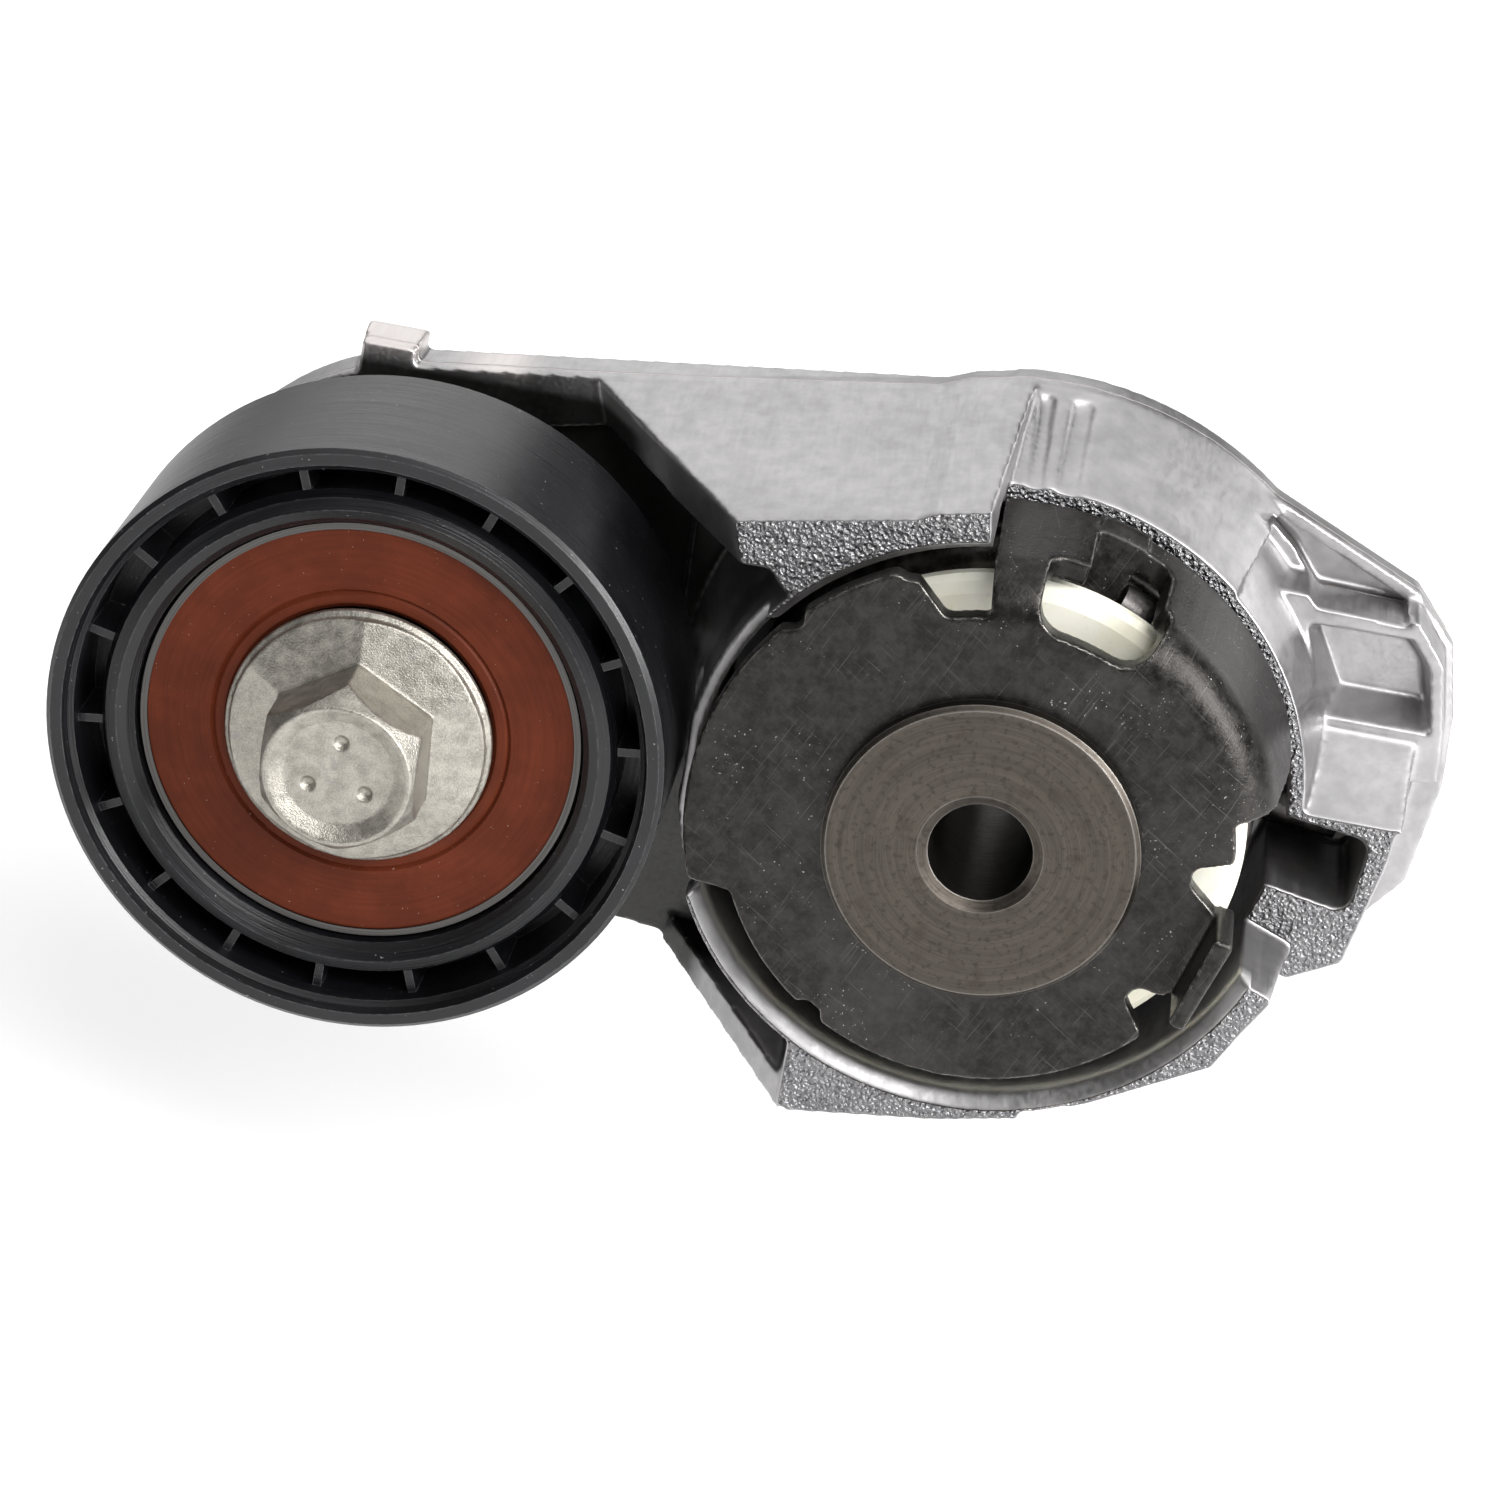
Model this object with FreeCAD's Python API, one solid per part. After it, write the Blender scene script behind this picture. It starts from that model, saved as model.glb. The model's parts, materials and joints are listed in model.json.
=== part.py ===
"""Belt tensioner with an idler pulley, as an assembly of separate parts.

The tensioner bolts to an engine through its hollow pivot shaft. A steel base plate and the shaft stand still.
A die-cast arm turns on the shaft against a torsion spring, and carries a smooth pulley on a ball bearing.

Everything is drawn in the shaft's own axes: x to the right, y up, z along the pivot shaft towards the engine
side, with z = 0 on the hub's end face, where the part is bolted on. place() turns each finished shape into the
model's frame, where z becomes -Y and y becomes +Z. All lengths are in millimetres and all angles in degrees.
"""

import FreeCAD, Part
import math
import os

# ---- driving dimensions --------------------------------------------------------------------------

CENTRE_DISTANCE = 65.0      # pivot axis to pulley axis
PULLEY_X = -CENTRE_DISTANCE

# pivot shaft and hub
BORE_R = 5.4                # clearance for an M10 bolt
BORE_CHAMFER = 1.1
BORE_CHAMFER_DEPTH = 0.7
HUB_R = 16.4
HUB_HEIGHT = 2.0            # how far the hub stands out of the base plate
SPIGOT_R = 12.0             # the shaft's step that holds the base plate
SHAFT_R = 9.0
SHAFT_END_Z = -45.2

# base plate
PLATE_T = 2.5
PLATE_TOP_Z = -HUB_HEIGHT
PLATE_BOTTOM_Z = PLATE_TOP_Z - PLATE_T
PLATE_WIDE_R = 30.9         # the arc on the pulley's side
PLATE_LOW_R = 26.8          # the arc along the bottom
PLATE_CORNER = 0.7
NOTCH_CORNER = 1.2
SKIRT_BEND = 6.0            # outside radius of the bend between plate and skirt
PLATE_NECK_R = 24.2         # where the flat plate turns into the skirt
SKIRT_END_Z = -19.3
SKIRT_END_R = 31.9
SKIRT_TOP_R = 30.3
SKIRT_START = 16.5          # angles of the skirt's two ends
SKIRT_END = 97.5
TONGUE_START = 69.5         # the tongue that the spring pushes on
TONGUE_END = 79.0
TONGUE_TIP_R = 24.4

# arm housing
CUP_R = 30.9                # inside of the spring cup
CUP_FRONT_R = 32.4          # outside of the cup at its front edge
CUP_BACK_R = 37.2           # and at its back
CUP_FRONT_Z = -5.0
CUP_LOW_RIM_Z = -20.2       # the rim under the skirt
TOP_FLARE_R = 39.2          # at the foot of the wall under the skirt
PARTING_Z = -36.5           # the arm's outline is widest here, and draws in to its back
BACK_DRAFT = 0.6
CUP_FLOOR_Z = -37.8
ARM_BACK_Z = -41.2
ARM_FRONT_Z = -35.0         # front of the web behind the pulley
ARM_END_R = 28.6            # the arm's round end about the pulley axis
REST_STOP_ANGLE = 98.2      # the face that rests on the skirt's end when the arm is free
LOAD_STOP_ANGLE = -21.0     # the face that meets the skirt's other end at full load
LEFT_RIM_Z = -9.5           # the thin rim beside the pulley
LEFT_RIM_START = 143.0
LEFT_RIM_END = 204.0
BARREL_R = 15.5             # bearing barrel about the shaft
BARREL_TOP_Z = -14.0
BUSH_R = 11.2
BUSH_CLEARANCE = 0.05
PULLEY_GAP = 0.8            # between pulley and housing
BOSS_R = 13.0
BOSS_TOP_Z = -17.0

INSERT_R = 7.2              # the threaded insert in the boss
BUSHES = {"pivot_bush_front": (-26.0, BARREL_TOP_Z), "pivot_bush_rear": (ARM_BACK_Z, -29.2)}

# torsion spring
WIRE_R = 2.4
COIL_R = 25.2
COIL_TOP_Z = -16.0          # wire centre at the tongue
COIL_END_Z = -35.2
COIL_START = 68.7
COIL_END = -6.0             # angle of the tang in the arm's pocket
COIL_FULL_TURNS = 3
TANG_LENGTH = 12.6

# pulley and its ball bearing
PULLEY_R = 32.2
PULLEY_FRONT_Z = 2.5
PULLEY_WIDTH = 24.0
PULLEY_BACK_Z = PULLEY_FRONT_Z - PULLEY_WIDTH
SHELL_R = 29.6              # inside of the belt shell
HUB_RING_R = 27.0           # outside of the ring on the bearing
RIB_COUNT = 18
RIB_T = 0.9
RIB_START = 7.5             # angle of the first rib
BEARING_FRONT_Z = -1.2
BEARING_WIDTH = 14.0
BEARING_BACK_Z = BEARING_FRONT_Z - BEARING_WIDTH
BEARING_MID_Z = BEARING_FRONT_Z - BEARING_WIDTH / 2
BEARING_OUTER_R = 23.5
BEARING_BORE_R = 8.5
BALL_R = 4.3655
BALL_COUNT = 7
PITCH_R = 16.0
RACE_CLEARANCE = 0.085
INNER_SHOULDER_R = 13.4
OUTER_SHOULDER_R = 18.8
SEAL_R = 22.4
SEAL_DEPTH = 0.3            # seal's front behind the bearing's face
SEAL_T = 0.9

# pulley bolt
BOLT_R = 5.0
BOLT_FLANGE_R = 14.0
BOLT_HEX_AF = 16.0
BOLT_HEX_TURN = 32.0
BOLT_TOP_Z = 10.2
BOLT_CROWN_R = 7.6
BOLT_END_Z = -38.5

AXIS = FreeCAD.Vector(0, 0, 1)
ORIGIN = FreeCAD.Vector(0, 0, 0)


# ---- helpers -------------------------------------------------------------------------------------

def vec(x, y, z=0.0):
    return FreeCAD.Vector(x, y, z)


def polar(radius, angle, z=0.0):
    """The point at that radius and angle about the pivot axis."""
    a = math.radians(angle)
    return vec(radius * math.cos(a), radius * math.sin(a), z)


def cylinder(radius, low, high, x=0.0, y=0.0):
    return Part.makeCylinder(radius, high - low, vec(x, y, low), AXIS)


def ring(outer, inner, low, high, x=0.0):
    return cylinder(outer, low, high, x).cut(cylinder(inner, low - 1, high + 1, x))


def face_of(edges):
    return Part.Face(Part.Wire(edges))


def polygon(points):
    return Part.makePolygon(points + [points[0]])


def prism(points, low, high):
    """A straight prism over a list of (x, y)."""
    outline = polygon([vec(x, y, low) for x, y in points])
    return Part.Face(outline).extrude(vec(0, 0, high - low))


def drafted(low_points, low, high_points, high):
    """A solid whose outline changes from one polygon to another between two heights."""
    first = polygon([vec(x, y, low) for x, y in low_points])
    second = polygon([vec(x, y, high) for x, y in high_points])
    return Part.makeLoft([first, second], True, True)


def lathe(profile, start=0.0, sweep=360.0, x=0.0):
    """Turns a closed outline of (radius, z) about the z axis, from one angle through a sweep."""
    solid = Part.Face(polygon([vec(r, 0, z) for r, z in profile])).revolve(ORIGIN, AXIS, sweep)
    solid.rotate(ORIGIN, AXIS, start)
    solid.translate(vec(x, 0, 0))
    return solid


def ring_sector(outer, inner, low, high, start, end):
    return lathe([(inner, low), (outer, low), (outer, high), (inner, high)], start, end - start)


def fused(shapes):
    return shapes[0].multiFuse(shapes[1:]).removeSplitter()


def rounded(shape, radius, chosen):
    """Rounds the edges that chosen(edge) picks, and says so if the kernel can't."""
    edges = [e for e in shape.Edges if chosen(e)]
    result = shape.makeFillet(radius, edges)
    if not result.isValid():
        raise ValueError("a fillet failed")
    return result


def place(shape):
    """From the shaft's axes into the model's frame."""
    turned = shape.copy()
    turned.rotate(ORIGIN, vec(1, 0, 0), 90)
    return turned


# ---- the standing parts --------------------------------------------------------------------------

def pivot_shaft():
    edge = 0.5
    profile = [
        (BORE_R, SHAFT_END_Z),
        (SHAFT_R - edge, SHAFT_END_Z),
        (SHAFT_R, SHAFT_END_Z + edge),
        (SHAFT_R, PLATE_BOTTOM_Z),
        (SPIGOT_R, PLATE_BOTTOM_Z),
        (SPIGOT_R, PLATE_TOP_Z),
        (HUB_R, PLATE_TOP_Z),
        (HUB_R, -edge),
        (HUB_R - edge, 0),
        (BORE_R + BORE_CHAMFER, 0),
        (BORE_R, -BORE_CHAMFER_DEPTH),
    ]
    return lathe(profile)


def plate_outline():
    """The flat plate's edge, counter-clockwise: (radius, start angle, end angle) of each arc, in order."""
    return [
        (PLATE_NECK_R, SKIRT_START, SKIRT_END - 2),
        (25.2, SKIRT_END, 107.6),
        (29.8, 112.0, 113.6),
        (PLATE_WIDE_R, 115.5, 135.2),
        (29.9, 136.2, 138.5),
        (PLATE_WIDE_R, 140.5, 198.5),
        (PLATE_LOW_R, 202.5, 233.0),
        (25.8, 235.0, 238.5),
        (PLATE_LOW_R, 240.5, 318.0),
        (22.3, 321.0, 326.0),
        (25.0, 328.5, 353.5),
        (21.7, 359.9, 364.9),
        (25.9, 367.2, 360.0 + SKIRT_START),
    ]


def flat_plate():
    edges = []
    arcs = plate_outline()
    for index, (radius, start, end) in enumerate(arcs):
        middle = (start + end) / 2
        arc = Part.Arc(polar(radius, start), polar(radius, middle), polar(radius, end))
        edges.append(arc.toShape())
        next_radius, next_start, _ = arcs[(index + 1) % len(arcs)]
        edges.append(Part.LineSegment(polar(radius, end), polar(next_radius, next_start)).toShape())
    plate = face_of(edges)
    plate.translate(vec(0, 0, PLATE_BOTTOM_Z))
    plate = plate.extrude(vec(0, 0, PLATE_T))
    notch_floors = (107.6, -39.0, -34.0, -0.1, 4.9)
    at_skirt = (SKIRT_START, SKIRT_END - 2, SKIRT_END)

    def stands_at(edge, angles):
        height = PLATE_BOTTOM_Z + PLATE_T / 2
        return is_axial(edge) and any(lies_at(edge, height, angle) for angle in angles)

    plate = rounded(plate, PLATE_CORNER, lambda e: is_axial(e) and not stands_at(e, notch_floors + at_skirt))
    return rounded(plate, NOTCH_CORNER, lambda e: stands_at(e, notch_floors))


def skirt():
    """The part of the plate bent back over the cup's low rim, drawn as its cross-section and turned."""
    bend = SKIRT_BEND
    lean = math.atan2(SKIRT_END_R - SKIRT_TOP_R, PLATE_TOP_Z - bend - SKIRT_END_Z)
    centre_z = PLATE_TOP_Z - bend
    centre_r = SKIRT_TOP_R - bend * math.cos(lean)
    inner_bend = bend - PLATE_T

    def on_bend(radius, angle):
        return vec(centre_r + radius * math.sin(angle), 0, centre_z + radius * math.cos(angle))

    turn = math.pi / 2 - lean
    inner_end_r = SKIRT_END_R - PLATE_T / math.cos(lean)
    inner_start = 22.5
    points = [
        vec(inner_start, 0, PLATE_TOP_Z),
        on_bend(bend, 0),
        on_bend(bend, turn),
        vec(SKIRT_END_R, 0, SKIRT_END_Z),
        vec(inner_end_r, 0, SKIRT_END_Z),
        on_bend(inner_bend, turn),
        on_bend(inner_bend, 0),
        vec(inner_start, 0, PLATE_BOTTOM_Z),
    ]
    outline = [
        Part.LineSegment(points[0], points[1]).toShape(),
        Part.Arc(points[1], on_bend(bend, turn / 2), points[2]).toShape(),
        Part.LineSegment(points[2], points[3]).toShape(),
        Part.LineSegment(points[3], points[4]).toShape(),
        Part.LineSegment(points[4], points[5]).toShape(),
        Part.Arc(points[5], on_bend(inner_bend, turn / 2), points[6]).toShape(),
        Part.LineSegment(points[6], points[7]).toShape(),
        Part.LineSegment(points[7], points[0]).toShape(),
    ]
    solid = face_of(outline).revolve(ORIGIN, AXIS, SKIRT_END - SKIRT_START)
    solid.rotate(ORIGIN, AXIS, SKIRT_START)
    return solid


def skirt_corner():
    """The corner to cut off the skirt's end near the spring pocket, leaving it round."""
    size = 6.0
    width = math.degrees(size / SKIRT_END_R)
    blank = ring_sector(38, 23, SKIRT_END_Z - 2, SKIRT_END_Z + size, SKIRT_START - 3, SKIRT_START + width)
    direction = polar(1, SKIRT_START + width)
    centre = direction * 15 + vec(0, 0, SKIRT_END_Z + size)
    return blank.cut(Part.makeCylinder(size, 30, centre, direction))


def window():
    """The opening over the tongue: low on the flat plate, and down the skirt beside the tongue."""
    inner_r = 24.4
    corner = 3.2
    small_corner = 2.0
    flat_floor = -8.6
    deep_floor = -16.2
    flat_part = ring_sector(36, inner_r, flat_floor, 0, 61.0, 87.0)
    flat_part = rounded(flat_part, corner, lambda e: is_axial(e) and near_radius(e, inner_r))
    flat_part = rounded(flat_part, small_corner, lambda e: is_radial(e) and lies_at(e, flat_floor, 87.0))
    beside_tongue = ring_sector(36, 26.5, deep_floor, -5, 63.0, TONGUE_END)
    beside_tongue = rounded(
        beside_tongue, small_corner, lambda e: is_radial(e) and lies_at(e, deep_floor, 63.0))
    return flat_part.fuse(beside_tongue)


def is_axial(edge):
    ends = [v.Point for v in edge.Vertexes]
    return len(ends) == 2 and math.hypot(ends[0].x - ends[1].x, ends[0].y - ends[1].y) < 0.01


def is_radial(edge):
    ends = [v.Point for v in edge.Vertexes]
    if len(ends) != 2 or abs(ends[0].z - ends[1].z) > 0.01:
        return False
    cross = ends[0].x * ends[1].y - ends[0].y * ends[1].x
    return abs(cross) < 0.01 * ends[0].Length * ends[1].Length and ends[0].distanceToPoint(ends[1]) > 1


def near_radius(edge, radius):
    middle = edge.CenterOfMass
    return abs(math.hypot(middle.x, middle.y) - radius) < 0.2


def lies_at(edge, height, angle):
    middle = edge.CenterOfMass
    return abs(middle.z - height) < 0.01 and abs(math.degrees(math.atan2(middle.y, middle.x)) - angle) < 0.5


def tongue():
    """The tab bent inwards from the skirt's edge: the spring's near end pushes on its side."""
    profile = [
        (TONGUE_TIP_R, -14.4),
        (TONGUE_TIP_R, -16.9),
        (30.4, -19.6),
        (31.8, -19.7),
        (32.45, -18.9),
        (32.45, -17.6),
        (31.7, -16.4),
        (30.8, -16.2),
    ]
    return lathe(profile, TONGUE_START, TONGUE_END - TONGUE_START)


def locating_tang():
    """The tab bent towards the engine, which keys the base plate to it."""
    height = 4.4
    outline = [(24.9, -2.5), (21.95, -12.85), (23.6, -13.3), (26.95, -2.9)]
    tang = prism(outline, PLATE_BOTTOM_Z, height)
    return rounded(tang, 0.5, is_axial)


def base_plate():
    hole = cylinder(SPIGOT_R, -10, 1)
    whole = fused([flat_plate(), skirt()]).cut(window()).cut(skirt_corner()).cut(hole)
    return fused([whole, tongue(), locating_tang()])


def spring_guide():
    """The nylon guide: a collar on the shaft, a flange over the spring's first turn and a sleeve inside it."""
    flange_top = -9.5
    flange_bottom = -12.0
    sleeve_r = 21.9
    profile = [
        (SHAFT_R, flange_bottom),
        (19.8, flange_bottom),
        (19.8, -30),
        (sleeve_r, -30),
        (sleeve_r, flange_bottom - 1.0),
        (24.4, flange_bottom),
        (26.4, flange_bottom),
        (26.9, flange_bottom + 0.5),
        (26.9, flange_top - 0.9),
        (26.2, flange_top - 0.35),
        (24.9, flange_top),
        (14.2, flange_top),
        (12.8, flange_top + 1.4),
        (12.8, PLATE_BOTTOM_Z),
        (SHAFT_R, PLATE_BOTTOM_Z),
    ]
    return lathe(profile)


def thrust_washer():
    return ring(15.0, SHAFT_R, -13.6, -12.0)


def friction_washer():
    """The nylon washer behind the arm."""
    return ring(17.0, SHAFT_R, ARM_BACK_Z - 1.7, ARM_BACK_Z - 0.3)


def end_washer():
    """The steel washer that holds the arm on the shaft, and the shaft's end is staked over it."""
    front = ARM_BACK_Z - 1.7
    edge = 0.4
    outer = 18.5
    profile = [
        (SHAFT_R, SHAFT_END_Z + 0.9),
        (outer - edge, SHAFT_END_Z + 0.9),
        (outer, SHAFT_END_Z + 0.9 + edge),
        (outer, front),
        (SHAFT_R, front),
    ]
    return lathe(profile)


# ---- the arm -------------------------------------------------------------------------------------

def tapered_arm(low, high, pivot_r, end_r):
    """The arm's outline: two circles joined by their common tangents, as a solid between two heights."""
    tilt = math.degrees(math.asin((pivot_r - end_r) / CENTRE_DISTANCE))
    top_angle = 90 + tilt
    pulley = vec(PULLEY_X, 0)
    pivot_top = polar(pivot_r, top_angle)
    pivot_bottom = polar(pivot_r, -top_angle)
    end_top = pulley.add(polar(end_r, top_angle))
    end_bottom = pulley.add(polar(end_r, -top_angle))
    outline = face_of([
        Part.Arc(pivot_bottom, polar(pivot_r, 0), pivot_top).toShape(),
        Part.LineSegment(pivot_top, end_top).toShape(),
        Part.Arc(end_top, pulley.add(polar(end_r, 180)), end_bottom).toShape(),
        Part.LineSegment(end_bottom, pivot_bottom).toShape(),
    ])
    outline.translate(vec(0, 0, low))
    return outline.extrude(vec(0, 0, high - low))


def cup_outside():
    return lathe([
        (0, ARM_BACK_Z),
        (CUP_BACK_R, ARM_BACK_Z),
        (CUP_FRONT_R + 0.3, CUP_LOW_RIM_Z),
        (CUP_FRONT_R, CUP_FRONT_Z),
        (0, CUP_FRONT_Z),
    ])


def upper_block():
    """The long block above the cup, which ends in the rest stop. Its far end slopes back to the web."""
    stop_in = polar(28.0, REST_STOP_ANGLE)
    stop_out = polar(35.4, REST_STOP_ANGLE)
    end_back = vec(-3.2, 39.1)
    front = [
        (-30.4, 29.2), (-29.1, 24.5), (-26.2, 24.6), (-24.2, 22.4), (-20.0, 20.0),
        (stop_in.x, stop_in.y), (stop_out.x, stop_out.y), (-10.4, 33.9), (-12.2, 32.9),
    ]
    back = [
        (-49.5, 30.6), (-47.6, 24.6), (-28.0, 24.8), (-25.0, 22.4), (-20.0, 20.0),
        (stop_in.x, stop_in.y), (end_back.x, end_back.y), (-10.3, 37.7), (-13.4, 36.4),
    ]
    return drafted(back, ARM_FRONT_Z, front, CUP_FRONT_Z)


def top_flare():
    """The wall under the skirt, which flares out to the parting line."""
    return lathe([
        (CUP_R - 1, ARM_BACK_Z), (TOP_FLARE_R - BACK_DRAFT, ARM_BACK_Z), (TOP_FLARE_R, PARTING_Z),
        (TOP_FLARE_R, ARM_FRONT_Z - 0.6), (CUP_FRONT_R + 0.6, CUP_LOW_RIM_Z), (CUP_R - 1, CUP_LOW_RIM_Z),
    ], 50.0, REST_STOP_ANGLE - 50.0)


def with_back_draft(outline, lower=BACK_DRAFT):
    """A flange as thick as the arm's web, whose outline draws in towards the back."""
    widest = prism(outline, PARTING_Z, ARM_FRONT_Z)
    drawn_in = [(x - math.copysign(min(lower, abs(x)), x), y - math.copysign(min(lower, abs(y)), y))
                for x, y in outline]
    return widest.fuse(drafted(drawn_in, ARM_BACK_Z, outline, PARTING_Z))


def top_flange():
    """The arm's upper back edge, from the flared wall to the square lug."""
    outline = [(10.0, 37.7), (3.0, 39.0), (-3.6, 39.1), (-10.3, 37.7), (-13.4, 36.4), (-26.0, 34.4),
               (-69.1, 27.8), (-69.1, 15.0), (10.0, 15.0)]
    return with_back_draft(outline)


def lower_corner():
    """The pad at the cup's lower left, with its rough front face."""
    front = [(-16.5, -35.4), (-15.2, -36.1), (0.2, -33.9), (9.0, -31.9), (9.0, -24.0), (-16.2, -24.0)]
    back = [(-17.6, -37.0), (-16.2, -37.6), (0.2, -37.4), (11.0, -35.2), (11.0, -24.0), (-17.4, -24.0)]
    return drafted(back, ARM_FRONT_Z, front, CUP_FRONT_Z)


def lower_rib():
    """The sloping rib from the lower corner down to the web behind the pulley."""
    thickness = 3.2
    run = 17.8
    tilt = -8.2
    corner = vec(-16.2, -36.2)
    points = [
        corner.add(vec(0, 0, CUP_FRONT_Z)),
        corner.add(vec(-run, 0, ARM_FRONT_Z)),
        corner.add(vec(0, 0, ARM_FRONT_Z)),
    ]
    rib = Part.Face(polygon(points)).extrude(vec(0, thickness, 0))
    rib.rotate(corner, AXIS, tilt)
    return rib


def lower_right_flank():
    """The thick wall that carries the full-load stop, on the cup's lower right."""
    front = [(14.0, -29.4), (15.8, -28.6), (27.8, -21.6), (30.1, -17.1), (32.3, -13.3), (32.5, -9.0),
             (27.5, -7.5), (13.0, -25.0)]
    back = [(15.0, -35.4), (17.4, -34.0), (31.2, -24.6), (33.6, -20.4), (36.6, -15.6), (37.2, -9.0),
            (27.5, -7.5), (13.0, -25.0)]
    return drafted(back, ARM_BACK_Z, front, CUP_FRONT_Z)


def wing_flange():
    """The flat flange right of the cup."""
    outline = [
        (10.0, 36.6), (18.3, 33.6), (40.9, 23.4), (45.6, 18.2), (47.3, 10.0), (47.8, 2.0), (46.2, -10.0),
        (41.6, -16.0), (34.0, -21.5), (26.0, -26.0), (0, 0),
    ]
    return with_back_draft(outline)


def wing_recess():
    """The shallow three-sided hollow in the flange's front, inside its raised edge."""
    outline = [(21.6, 30.6), (39.6, 22.4), (41.0, 21.6), (30.0, 22.0), (26.8, 26.0)]
    return prism(outline, ARM_FRONT_Z - 2.4, -20)


def wing_block():
    """The raised block between flange and pocket, with a four-sided recess in its front."""
    top_z = -29.2
    back = [(22.0, 24.6), (40.9, 22.7), (44.9, 18.0), (46.6, 9.9), (47.2, 4.0), (26.0, 2.0)]
    front = [(22.0, 23.6), (41.0, 22.3), (44.5, 17.9), (46.1, 9.8), (46.6, 4.6), (26.0, 2.0)]
    recess_front = [(29.4, 20.2), (40.8, 20.4), (43.2, 17.4), (44.8, 9.8), (33.0, 9.8)]
    recess_back = [(30.8, 18.6), (40.4, 18.8), (42.4, 16.6), (43.8, 12.0), (34.6, 12.0)]
    block = drafted(back, ARM_BACK_Z, front, top_z)
    return block.cut(drafted(recess_back, top_z - 5.0, recess_front, top_z + 0.4))


def pocket_block():
    """The walls about the spring's tang, with a slope down from their top edge to the block beside them."""
    front = [(26.0, 4.6), (31.6, 4.2), (32.6, 2.2), (42.7, 2.2), (42.4, -2.3), (40.0, -14.2), (34.6, -17.2),
             (26.0, -14.0)]
    back = [(26.0, 7.4), (33.0, 6.6), (34.6, 4.8), (45.2, 4.4), (44.8, -2.8), (42.2, -15.8), (35.0, -20.2),
            (26.0, -16.0)]
    walls = drafted(back, ARM_BACK_Z, front, CUP_LOW_RIM_Z)
    slope = Part.Face(polygon([vec(31.0, 2.0, CUP_LOW_RIM_Z), vec(31.0, 9.4, -30.0), vec(31.0, 2.0, -30.0)]))
    return walls.fuse(slope.extrude(vec(12.4, 0, 0)))


def pocket():
    """The slot for the spring's tang, open to the cup."""
    corner_r = 1.6
    slot = prism([(20.0, 3.0), (40.2, 0.3), (39.3, -8.2), (20.0, -4.6)], CUP_FLOOR_Z, 5)
    return rounded(slot, corner_r, lambda e: is_axial(e) and e.CenterOfMass.x > 30)


def casting_lug():
    """The square lug at the arm's far upper corner."""
    return drafted(
        [(-76.2, 18.0), (-69.0, 18.0), (-69.0, 30.5), (-75.8, 30.5)], ARM_BACK_Z,
        [(-75.8, 18.0), (-69.4, 18.0), (-69.4, 30.1), (-75.2, 30.1)], ARM_FRONT_Z)


def back_pockets():
    """Hollows cast into the back of the arm, between ribs."""
    depth_z = ARM_BACK_Z + 1.8
    first = [(-34.5, 14.0), (-34.5, 28.6), (-58.0, 25.0), (-58.0, 17.5), (-52.0, 9.0), (-44.0, 9.0)]
    second = [(x, -y) for x, y in first]
    middle = [(-41.0, 4.5), (-49.5, 4.5), (-49.5, -4.5), (-41.0, -4.5), (-37.5, 0.0)]
    outlines = [first, second, middle]
    return [prism(points, ARM_BACK_Z - 1, depth_z) for points in outlines]


def web_hollow():
    """The hollow in the web's front, between the block and the pulley's boss."""
    outline = [(-37.0, 3.0), (-37.0, 24.6), (-47.0, 25.6), (-56.5, 23.6), (-58.0, 16.0), (-50.0, 3.0)]
    return prism(outline, ARM_FRONT_Z - 2.9, -20)


def back_groove():
    """The annular hollow about the pivot barrel at the arm's back."""
    return ring(29.5, 20.5, ARM_BACK_Z - 1, ARM_BACK_Z + 2.0)


def back_ribs():
    """Straight ribs that cross the annular hollow."""
    ribs = []
    for angle in range(30, 390, 60):
        rib = Part.makeBox(10.5, 2.4, 2.2, vec(19.8, -1.2, ARM_BACK_Z))
        rib.rotate(ORIGIN, AXIS, angle)
        ribs.append(rib)
    return ribs


def mouth_chamfer():
    """The bevel round the inside of the cup's mouth."""
    return lathe([(CUP_R - 3, -7.0), (CUP_R, -7.0), (CUP_FRONT_R - 0.35, CUP_FRONT_Z), (34, 3), (CUP_R - 3, 3)])


def wall_grooves():
    """Two shallow grooves along the cup's top wall."""
    low = ARM_FRONT_Z + 1.2
    high = CUP_LOW_RIM_Z + 0.5
    first = drafted([(-2.7, 37.7), (-1.0, 37.7), (-1.0, 45), (-2.7, 45)], low,
                    [(-2.4, 32.5), (-0.4, 32.5), (-0.4, 45), (-2.4, 45)], high)
    second = drafted([(0.8, 37.8), (3.3, 37.7), (3.3, 45), (0.8, 45)], low,
                     [(0.7, 32.5), (3.2, 32.3), (3.2, 45), (0.7, 45)], high)
    return [first, second]


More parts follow.
